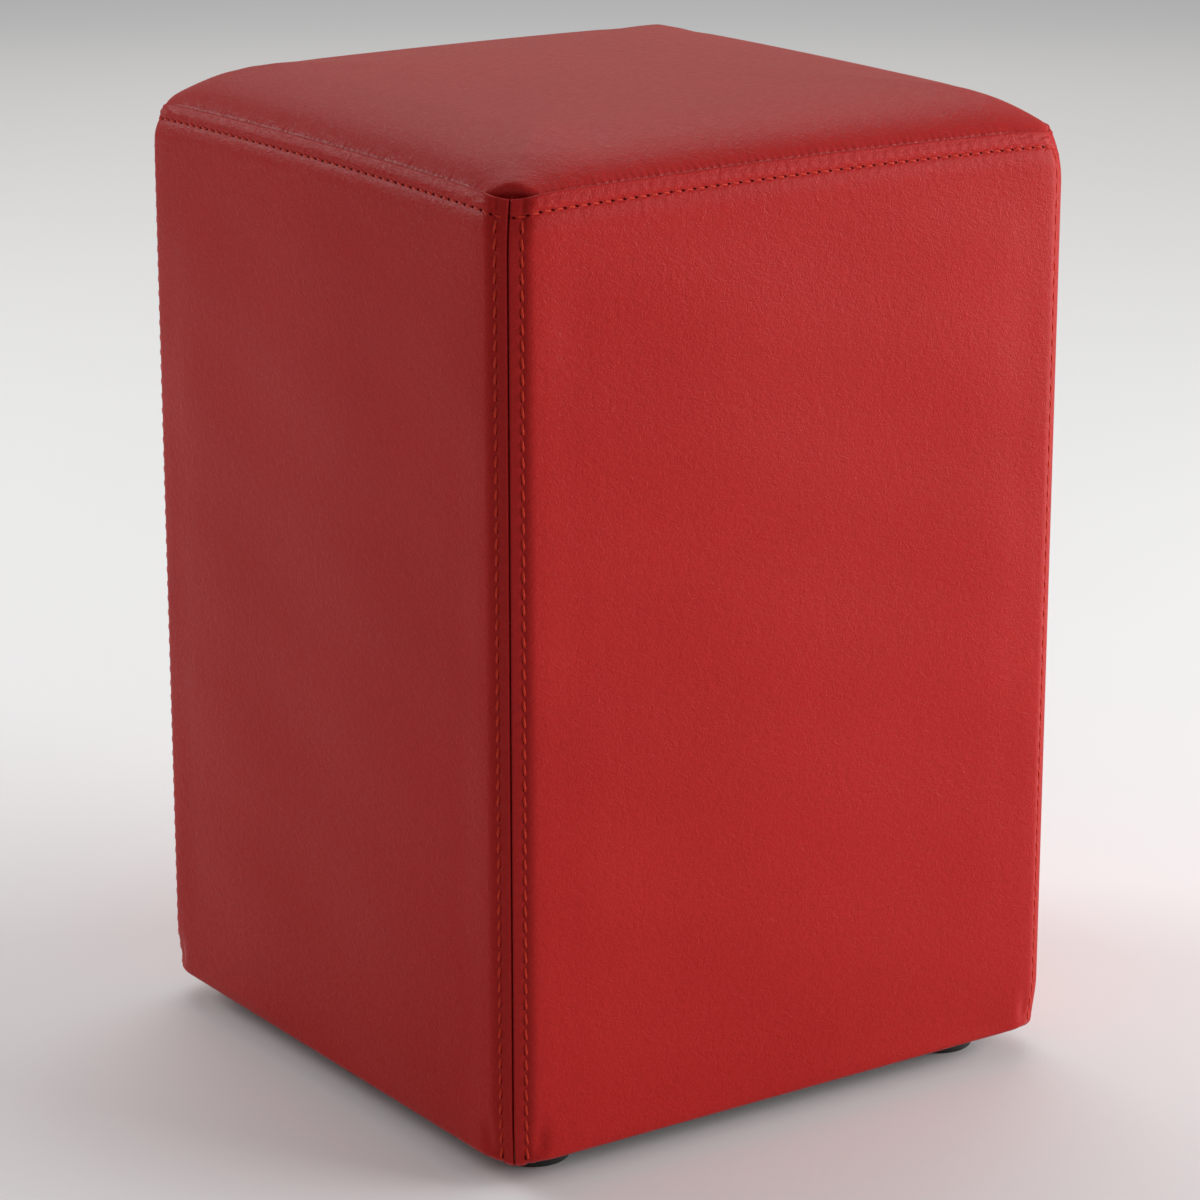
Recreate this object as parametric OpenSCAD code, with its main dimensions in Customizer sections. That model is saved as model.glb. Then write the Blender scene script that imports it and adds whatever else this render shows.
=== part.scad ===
// Square upholstered box stool: a screwed plywood carcass, foam and fleece padding,
// a five-panel sewn cover stapled underneath, and four screwed plastic glides.
// Millimetres. Origin on the floor under the middle of the seat, +Z up, front towards -Y.

/* [Overall] */
// Width and depth over the cover
body_w = 330; // [300:5:400]
// Height of the top seam above the floor
seam_z = 474; // [400:1:520]
// Rise of the seat's crown above the top seam
crown_rise = 16; // [13:1:22]
// Height of the glides, which is the gap under the body
lift = 15; // [12:1:20]

/* [Cover] */
// Thickness of the faux leather
cover_t = 1.2; // [0.8:0.1:1.6]
// Outer radius of the upright corners
corner_r = 11; // [9:1:18]
// Radius of the padded edge round the seat
shoulder_r = 16; // [14:1:20]
// How far the padded edge rises above the top seam
shoulder_rise = 11; // [8:1:12]
// Width of the cover turned under the frame
turn_under = 34; // [34:1:38]

/* [Padding] */
// Foam sheet on the sides
side_foam_t = 8; // [5:1:10]
// Fleece over the seat foam
fleece_t = 3; // [2:0.5:5]
// Top of the seat board below the top seam
seat_drop = 29; // [24:1:40]

/* [Carcass] */
// Thickness of the side boards
board_t = 12; // [10:1:15]
// Thickness of the seat board
seat_board_t = 15; // [12:1:18]
// Side of the square corner posts
post_w = 40; // [36:1:44]
// Height of the base rails
rail_h = 22; // [18:1:30]
// Diameter of the air holes in the seat board
air_hole_d = 14; // [8:1:20]

/* [Glides] */
// Diameter of a glide at its top
glide_d = 39; // [34:1:40]
// Diameter of a glide at the floor
glide_foot_d = 35; // [28:1:36]

/* [Hidden] */
eps = 0.02;
fine = 96;
half = body_w / 2;
frame_half = half - cover_t - side_foam_t;
frame_z = lift + cover_t;
seat_top_z = seam_z - seat_drop;
seat_board_z = seat_top_z - seat_board_t;
board_h = seat_board_z - frame_z;
inner_half = frame_half - board_t;
post_mid = inner_half - post_w / 2;
crown_z = seam_z + crown_rise;

// Wood screws: [shank diameter, head diameter, length]
board_screw = [3.6, 7.6, 40];
seat_screw = [3.6, 7.6, 45];
rail_screw = [3.2, 6.6, 28];
glide_screw = [3.6, 7.6, 28];
board_screw_z = [frame_z + 45, (frame_z + seat_board_z) / 2, seat_board_z - 60];
screw_point_d = 0.4;
screw_slot_depth = 1.4;
crossing_step = 14; // the left and right boards' screws sit this much higher
rail_screw_x = 60;
air_hole_x = 70;

// Staples: crown width, wire width, wire thickness, leg length
staple_w = 10;
wire_w = 1.2;
wire_t = 0.6;
cover_leg = 8;
cloth_leg = 6;
cover_staple_in = half - inner_half + 7;              // inwards from the cover's outer face
cloth_staple_in = half - frame_half + 0.75 * board_t; // the same for the dust cloth's
cover_staple_n = 8;
cloth_staple_n = 7;

cloth_t = 0.5;
cloth_half = half - 14;

glide_h = lift - cloth_t;
glide_recess_d = 13;
glide_recess_h = 7;
glide_edge_r = 2;

SIDES = ["front", "right", "back", "left"]; // a quarter turn apart, counting from -Y
CORNERS = ["front_right", "back_right", "back_left", "front_left"];

// ---------------------------------------------------------------- helpers

// Children turned to side or corner k. Side 0 is the front, and corner 0 is at its right.
module turned(k) {
  rotate([0, 0, 90 * k]) children();
}

module at_all_sides() {
  for (k = [0:3]) turned(k) children();
}

module rounded_square(h, r) {
  square([2 * h, 2 * (h - r)], center = true);
  square([2 * (h - r), 2 * h], center = true);
  for (sx = [-1, 1], sy = [-1, 1])
    translate([sx * (h - r), sy * (h - r)]) circle(r = r, $fn = fine);
}

// The wedge of plan belonging to the front side, cut along the diagonals.
module front_wedge(z0, z1) {
  reach = 2 * half;
  translate([0, 0, z0]) linear_extrude(z1 - z0)
    polygon([[0, 0], [-reach, -reach], [reach, -reach]]);
}

// Side view of the padded body, taken in by an inset: flat sides, round shoulders
// and a shallow arc between them.
module crown_profile(inset) {
  h = half - inset;
  r = shoulder_r - inset;
  shoulder_z = seam_z + shoulder_rise - shoulder_r;
  flat = h - r;
  arc_rise = crown_rise - shoulder_rise;
  arc_r = (flat * flat + arc_rise * arc_rise) / (2 * arc_rise);
  base = lift + inset;
  translate([-h, base]) square([2 * h, shoulder_z - base]);
  translate([-flat, base]) square([2 * flat, shoulder_z + r - base]);
  for (s = [-1, 1]) translate([s * flat, shoulder_z]) circle(r = r, $fn = fine);
  intersection() {
    translate([0, shoulder_z + r + arc_rise - arc_r]) circle(r = arc_r, $fn = 4 * fine);
    translate([-flat, shoulder_z]) square([2 * flat, 2 * shoulder_r]);
  }
}

module crown_sweep(inset) {
  rotate([90, 0, 0]) linear_extrude(4 * half, center = true) crown_profile(inset);
}

// The whole padded body taken in by an inset.
module envelope(inset) {
  intersection() {
    crown_sweep(inset);
    turned(1) crown_sweep(inset);
    translate([0, 0, lift]) linear_extrude(crown_z)
      rounded_square(half - inset, corner_r - inset);
  }
}

module slab(h, z0, z1) {
  translate([-h, -h, z0]) cube([2 * h, 2 * h, z1 - z0]);
}

// ---------------------------------------------------------------- fasteners

// A countersunk wood screw with its head's face at the origin, pointing down.
module screw_body(size) {
  d = size[0];
  head_d = size[1];
  len = size[2];
  head_h = (head_d - d) / 2;
  tip = 1.6 * d;
  translate([0, 0, -head_h]) cylinder(d1 = d, d2 = head_d, h = head_h, $fn = 48);
  translate([0, 0, tip - len]) cylinder(d = d, h = len - tip - head_h + eps, $fn = 48);
  translate([0, 0, -len]) cylinder(d1 = screw_point_d, d2 = d, h = tip, $fn = 48);
}

module screw(size) {
  slot_l = 0.55 * size[1];
  slot_w = 0.14 * size[1];
  difference() {
    screw_body(size);
    for (a = [0, 90]) rotate([0, 0, a])
      translate([-slot_l / 2, -slot_w / 2, -screw_slot_depth])
        cube([slot_l, slot_w, 2 * screw_slot_depth]);
  }
}

// Places for the side board screws, heads on the boards' outer faces. The left and right
// boards' screws sit higher, so that they pass over the others inside the posts.
module board_screw_places() {
  for (k = [0:3], s = [-1, 1], z = board_screw_z)
    turned(k) translate([s * post_mid, -frame_half, z + (k % 2) * crossing_step])
      rotate([90, 0, 0]) children();
}

// Places for the seat board screws: one over each post and one over each board's middle.
module seat_screw_places() {
  at_all_sides() {
    translate([post_mid, -post_mid, seat_top_z]) children();
    translate([0, board_t / 2 - frame_half, seat_top_z]) children();
  }
}

// Places for the rail screws, heads on the rails' inner faces.
module rail_screw_places() {
  at_all_sides() for (s = [-1, 1])
    translate([s * rail_screw_x, post_w / 2 - inner_half, frame_z + rail_h / 2])
      rotate([-90, 0, 0]) children();
}

module glide_screw_places() {
  at_all_sides() translate([post_mid, -post_mid, glide_recess_h])
    rotate([180, 0, 0]) children();
}

// A staple driven upwards: its crown hangs below the origin's plane by its wire.
module staple(leg) {
  translate([-staple_w / 2, -wire_w / 2, 0]) cube([staple_w, wire_w, wire_t]);
  for (s = [-1, 1])
    translate([s * (staple_w - wire_t) / 2 - wire_t / 2, -wire_w / 2, 0])
      cube([wire_t, wire_w, wire_t + leg]);
}

// Evenly spaced places along the underside of one side.
module staple_row(n, inset, z) {
  pitch = 2 * (half - inset - staple_w) / n;
  for (i = [0:n - 1])
    translate([(i - (n - 1) / 2) * pitch, inset - half, z]) children();
}

module all_cover_staples() {
  at_all_sides() staple_row(cover_staple_n, cover_staple_in, lift) staple(cover_leg);
}

module all_cloth_staples() {
  at_all_sides() staple_row(cloth_staple_n, cloth_staple_in, lift - cloth_t - wire_t)
    staple(cloth_leg);
}

// ---------------------------------------------------------------- carcass

module seat_board() {
  color("burlywood") difference() {
    slab(frame_half, seat_board_z, seat_top_z);
    for (x = [-1, 0, 1], y = [-1, 0, 1]) if (abs(x) == abs(y))
      translate([air_hole_x * x, air_hole_x * y, seat_board_z - 1])
        cylinder(d = air_hole_d, h = seat_board_t + 2, $fn = 48);
    seat_screw_places() screw_body(seat_screw);
  }
}

// Front and back boards run the full width; the other two stand between them.
module side_board(k) {
  w = k % 2 == 0 ? frame_half : inner_half;
  color("burlywood") difference() {
    turned(k) translate([-w, -frame_half, frame_z]) cube([2 * w, board_t, board_h]);
    board_screw_places() screw_body(board_screw);
    rail_screw_places() screw_body(rail_screw);
    seat_screw_places() screw_body(seat_screw);
    all_cloth_staples();
  }
}

// Corner k's post; corner 0 is at the front right.
module corner_post(k) {
  color("wheat") difference() {
    turned(k) translate([post_mid - post_w / 2, -post_mid - post_w / 2, frame_z])
      cube([post_w, post_w, board_h]);
    board_screw_places() screw_body(board_screw);
    seat_screw_places() screw_body(seat_screw);
    glide_screw_places() screw_body(glide_screw);
    all_cover_staples();
  }
}

module base_rail(k) {
  span = inner_half - post_w;
  color("wheat") difference() {
    turned(k) translate([-span, -inner_half, frame_z]) cube([2 * span, post_w / 2, rail_h]);
    rail_screw_places() screw_body(rail_screw);
    all_cover_staples();
  }
}

// ---------------------------------------------------------------- padding

module side_foam(k) {
  color("lightyellow") intersection() {
    difference() {
      envelope(cover_t);
      slab(frame_half, 0, crown_z);
    }
    turned(k) front_wedge(frame_z, seat_top_z);
  }
}

module seat_foam() {
  color("lightyellow") intersection() {
    envelope(cover_t + fleece_t);
    slab(half, seat_top_z, crown_z);
  }
}

module seat_fleece() {
  color("white") intersection() {
    difference() {
      envelope(cover_t);
      envelope(cover_t + fleece_t);
    }
    slab(half, seat_top_z, crown_z);
  }
}

// ---------------------------------------------------------------- cover

module cover_skin() {
  difference() {
    envelope(0);
    envelope(cover_t);
  }
}

module seat_cover_panel() {
  color("firebrick") intersection() {
    cover_skin();
    slab(half, seam_z, crown_z);
  }
}

// One side's leather with its turned-under edge, mitred at the corners.
module side_cover_panel(k) {
  color("firebrick") difference() {
    intersection() {
      cover_skin();
      turned(k) front_wedge(0, seam_z);
    }
    slab(half - turn_under, 0, lift + 2 * cover_t);
    all_cover_staples();
    all_cloth_staples();
    glide_screw_places() screw_body(glide_screw);
  }
}

module dust_cloth() {
  color([0.08, 0.08, 0.08]) difference() {
    slab(cloth_half, lift - cloth_t, lift);
    all_cloth_staples();
    glide_screw_places() screw_body(glide_screw);
  }
}

// ---------------------------------------------------------------- glides

// Side view of half a glide: a tapering plug with a rounded foot edge.
module glide_profile() {
  foot = glide_foot_d / 2;
  intersection() {
    union() {
      square([foot - glide_edge_r, glide_h]);
      translate([foot - glide_edge_r, glide_edge_r]) circle(r = glide_edge_r, $fn = 48);
      polygon([[foot - glide_edge_r, glide_edge_r], [foot, glide_edge_r],
               [glide_d / 2, glide_h], [0, glide_h]]);
    }
    square([glide_d / 2, glide_h]);
  }
}

module glide(k) {
  color([0.07, 0.07, 0.07]) difference() {
    turned(k) translate([post_mid, -post_mid, 0]) difference() {
      rotate_extrude($fn = fine) glide_profile();
      translate([0, 0, -1]) cylinder(d = glide_recess_d, h = glide_recess_h + 1, $fn = 48);
    }
    glide_screw_places() screw_body(glide_screw);
  }
}

// ---------------------------------------------------------------- nodes

seat_board();
for (k = [0:3]) {
  side_board(k);
  corner_post(k);
  base_rail(k);
  side_foam(k);
  side_cover_panel(k);
  glide(k);
}
color("silver") board_screw_places() screw(board_screw);  // board_screws
color("silver") seat_screw_places() screw(seat_screw);  // seat_board_screws
color("silver") rail_screw_places() screw(rail_screw);  // base_rail_screws
seat_foam();
seat_fleece();
seat_cover_panel();
color("silver") all_cover_staples();  // cover_staples
dust_cloth();
color("silver") all_cloth_staples();  // dust_cloth_staples
color("silver") glide_screw_places() screw(glide_screw);  // glide_screws
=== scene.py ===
"""A square upholstered box stool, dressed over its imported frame.

The sewn cover is five leather panels made as fine grids: each has its rolled seam edges, sewn
valleys, puckers and a puff that a cloth simulation gives. Thread, padding and dust cloth are
pieces of their own. Wood, steel and plastic parts are the frame's own, with better finishes.
"""
import logging
import math
from abc import ABC, abstractmethod
from collections.abc import Callable
from dataclasses import dataclass, field
from enum import Enum

import bpy
import numpy as np
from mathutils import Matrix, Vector


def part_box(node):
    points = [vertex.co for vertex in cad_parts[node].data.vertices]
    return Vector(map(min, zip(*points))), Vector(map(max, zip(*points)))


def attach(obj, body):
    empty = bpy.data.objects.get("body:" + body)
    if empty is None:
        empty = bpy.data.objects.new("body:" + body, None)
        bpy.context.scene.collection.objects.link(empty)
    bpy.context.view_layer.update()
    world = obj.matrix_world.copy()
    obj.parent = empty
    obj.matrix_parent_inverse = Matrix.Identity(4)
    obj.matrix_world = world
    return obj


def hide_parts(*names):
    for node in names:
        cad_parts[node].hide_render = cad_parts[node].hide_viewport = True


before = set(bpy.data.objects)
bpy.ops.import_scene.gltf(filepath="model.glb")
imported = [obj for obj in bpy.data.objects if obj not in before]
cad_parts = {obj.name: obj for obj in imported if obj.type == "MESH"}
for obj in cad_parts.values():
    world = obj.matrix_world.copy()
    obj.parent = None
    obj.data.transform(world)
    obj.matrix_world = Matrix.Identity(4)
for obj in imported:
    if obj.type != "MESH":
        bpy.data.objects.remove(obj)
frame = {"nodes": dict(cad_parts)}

MM = 0.001
TAU = 2 * math.pi
Array = np.ndarray
Socket = bpy.types.NodeSocket
Material = bpy.types.Material
Triple = tuple[float, float, float]
log = logging.getLogger("stool")


class Side(Enum):
    """The four sides, as quarter turns from the front."""

    FRONT = 0
    RIGHT = 1
    BACK = 2
    LEFT = 3

    @property
    def label(self) -> str:
        """The side's name in the frame."""
        return self.name.lower()


class Axis(Enum):
    """The three axes of the frame."""

    X = 0
    Y = 1
    Z = 2


# ---- small tools


def smooth(x: Array | float) -> Array:
    """Eases from 0 to 1 as x does, and is flat outside."""
    x = np.clip(x, 0.0, 1.0)
    return x * x * (3 - 2 * x)


def bump_at(x: Array, centre: float, width: float) -> Array:
    """A bell of height 1 round a centre, with its half width at 1/e of the height."""
    return np.exp(-(((x - centre) / width) ** 2))


def running_sum(values: Array, step: float) -> Array:
    """The integral of evenly spaced values by trapezoids, starting at 0."""
    return np.concatenate([[0.0], np.cumsum((values[1:] + values[:-1]) * step / 2)])


def turned(points: Array, side: Side) -> Array:
    """Turns points of the front side to another side.

    Args:
        points: Points of shape (..., 3).
        side: The side to turn them to.

    Returns:
        The turned points.
    """
    c, s = [(1, 0), (0, 1), (-1, 0), (0, -1)][side.value]
    x, y, z = points[..., 0], points[..., 1], points[..., 2]
    return np.stack([c * x - s * y, s * x + c * y, z], axis=-1)


def grid_normals(points: Array) -> Array:
    """Unit normals of a grid of points.

    Args:
        points: Points of shape (rows, columns, 3). Columns run right and rows run up, seen
            from the side that the normals point to.

    Returns:
        Normals of the same shape.
    """
    along = np.gradient(points, axis=1)
    up = np.gradient(points, axis=0)
    n = np.cross(along, up)
    return n / np.maximum(np.linalg.norm(n, axis=-1, keepdims=True), 1e-12)


def grid_faces(rows: int, columns: int, start: int = 0) -> Array:
    """Quads of a grid.

    Args:
        rows: Rows of vertices.
        columns: Vertices in a row.
        start: The first vertex's number.

    Returns:
        Vertex numbers of shape (faces, 4), anticlockwise.
    """
    k = (np.arange(rows - 1)[:, None] * columns + np.arange(columns - 1)[None, :]).ravel()
    return np.stack([k, k + 1, k + columns + 1, k + columns], axis=1) + start


def border_loop(rows: int, columns: int) -> Array:
    """The numbers of a grid's border vertices, once round anticlockwise."""
    n = np.arange(rows * columns).reshape(rows, columns)
    return np.concatenate([n[0, :-1], n[:-1, -1], n[-1, :0:-1], n[:0:-1, 0]])


def closed_block(top: Array, low: Array) -> tuple[Array, Array]:
    """Closes the space between two grids.

    Args:
        top: Points of the upper or outer grid, of shape (rows, columns, 3).
        low: Points of the lower or inner grid, of the same shape.

    Returns:
        Vertices and quads.
    """
    rows, columns = top.shape[:2]
    count = rows * columns
    loop = border_loop(rows, columns)
    after = np.roll(loop, -1)
    edges = np.stack([loop + count, after + count, after, loop], axis=1)
    faces = np.concatenate([grid_faces(rows, columns),
                            grid_faces(rows, columns, count)[:, ::-1], edges])
    return np.concatenate([top.reshape(-1, 3), low.reshape(-1, 3)]), faces


def make_mesh(name: str, points: Array, faces: Array) -> bpy.types.Object:
    """Makes a smooth mesh object.

    Args:
        name: The piece's name.
        points: Vertices of shape (count, 3).
        faces: Quads of shape (count, 4).

    Returns:
        The linked object.
    """
    mesh = bpy.data.meshes.new(name)
    mesh.vertices.add(len(points))
    mesh.vertices.foreach_set("co", np.ascontiguousarray(points, np.float32).ravel())
    mesh.loops.add(faces.size)
    mesh.loops.foreach_set("vertex_index", np.ascontiguousarray(faces, np.int32).ravel())
    mesh.polygons.add(len(faces))
    mesh.polygons.foreach_set("loop_start", np.arange(len(faces), dtype=np.int32) * 4)
    mesh.update(calc_edges=True)
    mesh.validate()
    mesh.shade_smooth()
    piece = bpy.data.objects.new(name, mesh)
    bpy.context.scene.collection.objects.link(piece)
    return piece


def dress(piece: bpy.types.Object, material: Material, node: str) -> None:
    """Finishes a piece and puts it in the place of one of the frame's nodes.

    Args:
        piece: The piece.
        material: Its finish.
        node: The frame's node that it stands for.
    """
    piece.data.materials.append(material)
    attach(piece, "root")
    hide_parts(node)


# ---- finishes


class Nodes:
    """A short way to wire a material's nodes."""

    def __init__(self, name: str) -> None:
        """Starts a material with a lone shader.

        Args:
            name: The material's name.
        """
        self.material = bpy.data.materials.new(name)
        self.material.use_nodes = True
        self.tree = self.material.node_tree
        self.shader = self.tree.nodes["Principled BSDF"]

    def add(self, kind: str, **values: object) -> bpy.types.Node:
        """Adds a node.

        Args:
            kind: Blender's name for the node type.
            **values: Node properties, or input sockets by name with _ for a space.

        Returns:
            The new node.
        """
        node = self.tree.nodes.new(kind)
        for key, value in values.items():
            if key in node.bl_rna.properties:
                setattr(node, key, value)
            else:
                self.put(value, node.inputs[key.replace("_", " ")])
        return node

    def put(self, value: object, socket: Socket) -> None:
        """Links an output, or sets a constant.

        Args:
            value: An output socket or a constant.
            socket: The input socket that takes it.
        """
        if isinstance(value, Socket):
            self.tree.links.new(value, socket)
        else:
            socket.default_value = value

    def place(self, scale: Triple = (1, 1, 1)) -> Socket:
        """Object coordinates, stretched and then turned off the axes of the noise.

        Args:
            scale: The stretch along each axis.

        Returns:
            The coordinates' output.
        """
        coords = self.add("ShaderNodeTexCoord")
        mapping = self.add("ShaderNodeMapping", Vector=coords.outputs["Object"])
        mapping.inputs["Scale"].default_value = scale
        mapping.inputs["Rotation"].default_value = (0.5, 0.4, 0.7)
        return mapping.outputs["Vector"]

    def noise(self, where: Socket, scale: float, detail: float = 2.0,
              distortion: float = 0.0) -> Socket:
        """Cloudy noise from 0 to 1, with so many clouds to a metre."""
        return self.add("ShaderNodeTexNoise", Vector=where, Scale=scale, Detail=detail,
                        Distortion=distortion).outputs["Fac"]

    def blend(self, factor: Socket, low: float, high: float) -> Socket:
        """Maps 0..1 to a range."""
        node = self.add("ShaderNodeMapRange", Value=factor, To_Min=low, To_Max=high)
        return node.outputs["Result"]

    def sum(self, first: Socket, second: Socket, share: float) -> Socket:
        """Adds a share of the second output to the first.

        Args:
            first: The main height.
            second: The height that is added.
            share: How much of it.

        Returns:
            The sum's output.
        """
        node = self.add("ShaderNodeMath", operation="MULTIPLY_ADD")
        self.put(second, node.inputs[0])
        self.put(share, node.inputs[1])
        self.put(first, node.inputs[2])
        return node.outputs["Value"]

    def colours(self, factor: Socket, stops: list[tuple[float, Triple]]) -> None:
        """Colours the surface by a ramp.

        Args:
            factor: The ramp's input.
            stops: Positions with linear colours.
        """
        ramp = self.add("ShaderNodeValToRGB", Fac=factor).color_ramp
        while len(ramp.elements) < len(stops):
            ramp.elements.new(0.5)
        for element, (position, colour) in zip(ramp.elements, stops):
            element.position = position
            element.color = (*colour, 1.0)
        self.put(self.tree.nodes[-1].outputs["Color"], self.shader.inputs["Base Color"])

    def rough(self, factor: Socket, low: float, high: float) -> None:
        """Varies the roughness between two values."""
        self.put(self.blend(factor, low, high), self.shader.inputs["Roughness"])

    def relief(self, height: Socket, depth: float, strength: float = 1.0) -> None:
        """Turns a height from 0 to 1 into bumps of a depth in metres."""
        node = self.add("ShaderNodeBump", Height=height, Distance=depth, Strength=strength)
        self.put(node.outputs["Normal"], self.shader.inputs["Normal"])

    def matt(self, level: float) -> None:
        """Sets the strength of the mirror reflection."""
        self.shader.inputs["Specular IOR Level"].default_value = level


class Finish(ABC):
    """A procedural finish, which wires its own material."""

    name: str

    @abstractmethod
    def wire(self, n: Nodes) -> None:
        """Wires the material.

        Args:
            n: Its nodes.
        """

    def build(self) -> Material:
        """Makes the material."""
        n = Nodes(self.name)
        self.wire(n)
        return n.material


@dataclass(frozen=True)
class FauxLeather(Finish):
    """Red pebble-grained faux leather with a satin skin.

    Attributes:
        name: The material's name.
        stretch: Grain stretch along each axis, under 1 where the creases run long.
        colour: The skin's linear colour.
        pebble: Pebbles to a metre.
        shine: Strength of the skin's mirror reflection.
    """

    name: str
    stretch: Triple
    colour: Triple = (0.42, 0.0185, 0.0168)
    pebble: float = 820.0
    shine: float = 0.13

    def wire(self, n: Nodes) -> None:
        """Wires the material.

        Args:
            n: Its nodes.
        """
        where = n.place(self.stretch)
        swirl = n.add("ShaderNodeTexNoise", Vector=where, Scale=240.0, Detail=2.0)
        shifted = n.add("ShaderNodeVectorMath", operation="MULTIPLY_ADD")
        n.put(swirl.outputs["Color"], shifted.inputs[0])
        shifted.inputs[1].default_value = (0.0035, 0.0035, 0.0035)
        n.put(where, shifted.inputs[2])
        pebbles = n.add("ShaderNodeTexVoronoi", feature="DISTANCE_TO_EDGE",
                        Vector=shifted.outputs["Vector"], Scale=self.pebble)
        crowns = n.add("ShaderNodeMapRange", interpolation_type="SMOOTHSTEP", From_Max=0.45,
                       Value=pebbles.outputs["Distance"])
        creases = n.noise(shifted.outputs["Vector"], self.pebble * 0.45, 2.0, 0.8)
        pores = n.noise(n.place(), 2600.0, 2.0)
        drift = n.noise(n.place(), 9.0, 3.0)
        grain = n.sum(n.sum(creases, crowns.outputs["Result"], 0.3), pores, 0.05)
        tone = n.sum(n.blend(drift, -0.15, 0.15), grain, 0.4)
        r, g, b = self.colour
        n.colours(tone, [(0.05, (r * 0.84, g * 0.80, b * 0.80)),
                         (0.40, (r, g, b)),
                         (0.80, (r * 1.08, g * 1.15, b * 1.15))])
        n.rough(grain, 0.46, 0.32)
        n.matt(self.shine)
        n.relief(grain, 0.36 * MM, 0.8)


@dataclass(frozen=True)
class Thread(Finish):
    """Orange-red bonded sewing thread."""

    name: str = "sewing_thread"
    colour: Triple = (0.64, 0.032, 0.013)

    def wire(self, n: Nodes) -> None:
        """Wires the material.

        Args:
            n: Its nodes.
        """
        fibre = n.noise(n.place(), 5200.0, 2.0)
        r, g, b = self.colour
        n.colours(fibre, [(0.2, (r * 0.7, g * 0.6, b * 0.6)), (0.8, (r, g * 1.2, b * 1.2))])
        n.rough(fibre, 0.50, 0.65)
        n.matt(0.2)
        n.relief(fibre, 0.08 * MM, 0.6)


@dataclass(frozen=True)
class PaintedStitchShadow(Finish):
    """Painted shadow: near black, for the flat lenses beside the thread that stand in for its
    shade in the needle holes.
    """

    name: str = "painted_stitch_shadow"

    def wire(self, n: Nodes) -> None:
        """Wires the material.

        Args:
            n: Its nodes.
        """
        # painted shadow: this noise only varies how near black the lenses are
        depth = n.noise(n.place(), 900.0, 1.0)
        n.colours(depth, [(0.0, (0.050, 0.0015, 0.0012)), (1.0, (0.085, 0.0025, 0.002))])
        n.rough(depth, 0.75, 0.90)
        n.matt(0.03)


@dataclass(frozen=True)
class Timber(Finish):
    """Bare wood, as solid softwood or as plywood.

    Attributes:
        name: The material's name.
        grain: The axis that the grain runs along.
        layers: The axis that plies are stacked along, or None for solid wood.
        light: The pale wood's linear colour.
        dark: The dark wood's linear colour.
    """

    name: str
    grain: Axis
    layers: Axis | None = None
    light: Triple = (0.70, 0.50, 0.29)
    dark: Triple = (0.45, 0.27, 0.13)

    def wire(self, n: Nodes) -> None:
        """Wires the material.

        Args:
            n: Its nodes.
        """
        stretch = [1.0, 1.0, 1.0]
        stretch[self.grain.value] = 0.06
        where = n.place(tuple(stretch))
        rings = n.noise(where, 130.0, 5.0, 1.2)
        fibres = n.noise(where, 900.0, 3.0)
        tone = n.sum(rings, fibres, 0.25)
        if self.layers is not None:
            coords = n.add("ShaderNodeTexCoord")
            plies = n.add("ShaderNodeTexWave", bands_direction=self.layers.name,
                          Vector=coords.outputs["Object"], Scale=120.0, Distortion=0.3)
            tone = n.sum(tone, plies.outputs["Fac"], -0.12)
        n.colours(tone, [(0.30, self.dark), (0.75, self.light)])
        n.rough(fibres, 0.55, 0.75)
        n.relief(tone, 0.25 * MM, 0.5)


@dataclass(frozen=True)
class Foam(Finish):
    """Pale open-cell foam."""

    name: str = "open_cell_foam"

    def wire(self, n: Nodes) -> None:
        """Wires the material.

        Args:
            n: Its nodes.
        """
        cells = n.add("ShaderNodeTexVoronoi", Vector=n.place(), Scale=1100.0)
        yellowing = n.noise(n.place(), 14.0, 2.0)
        n.colours(n.sum(yellowing, cells.outputs["Distance"], -0.4),
                  [(0.1, (0.66, 0.58, 0.34)), (0.7, (0.84, 0.79, 0.56))])
        n.rough(cells.outputs["Distance"], 0.95, 0.85)
        n.relief(cells.outputs["Distance"], 0.5 * MM, 0.8)


@dataclass(frozen=True)
class Fleece(Finish):
    """White polyester wadding."""

    name: str = "polyester_fleece"

    def wire(self, n: Nodes) -> None:
        """Wires the material.

        Args:
            n: Its nodes.
        """
        fibres = n.noise(n.place((1.0, 0.25, 1.0)), 1400.0, 4.0, 2.0)
        lumps = n.noise(n.place(), 60.0, 2.0)
        fluff = n.sum(lumps, fibres, 0.5)
        n.colours(fluff, [(0.3, (0.70, 0.70, 0.68)), (0.9, (0.90, 0.90, 0.88))])
        n.rough(fibres, 0.85, 1.0)
        n.shader.inputs["Sheen Weight"].default_value = 0.4
        n.relief(fluff, 0.7 * MM, 0.7)


@dataclass(frozen=True)
class Spunbond(Finish):
    """Thin black nonwoven cloth with its bonding dots."""

    name: str = "black_spunbond"

    def wire(self, n: Nodes) -> None:
        """Wires the material.

        Args:
            n: Its nodes.
        """
        dots = n.add("ShaderNodeTexVoronoi", Vector=n.place(), Scale=620.0, Randomness=0.15)
        fibres = n.noise(n.place((1.0, 0.3, 1.0)), 1800.0, 3.0, 1.5)
        height = n.sum(dots.outputs["Distance"], fibres, 0.35)
        n.colours(height, [(0.2, (0.006, 0.006, 0.007)), (0.9, (0.024, 0.024, 0.026))])
        n.rough(fibres, 0.70, 0.95)
        n.relief(height, 0.2 * MM, 0.7)


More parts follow.
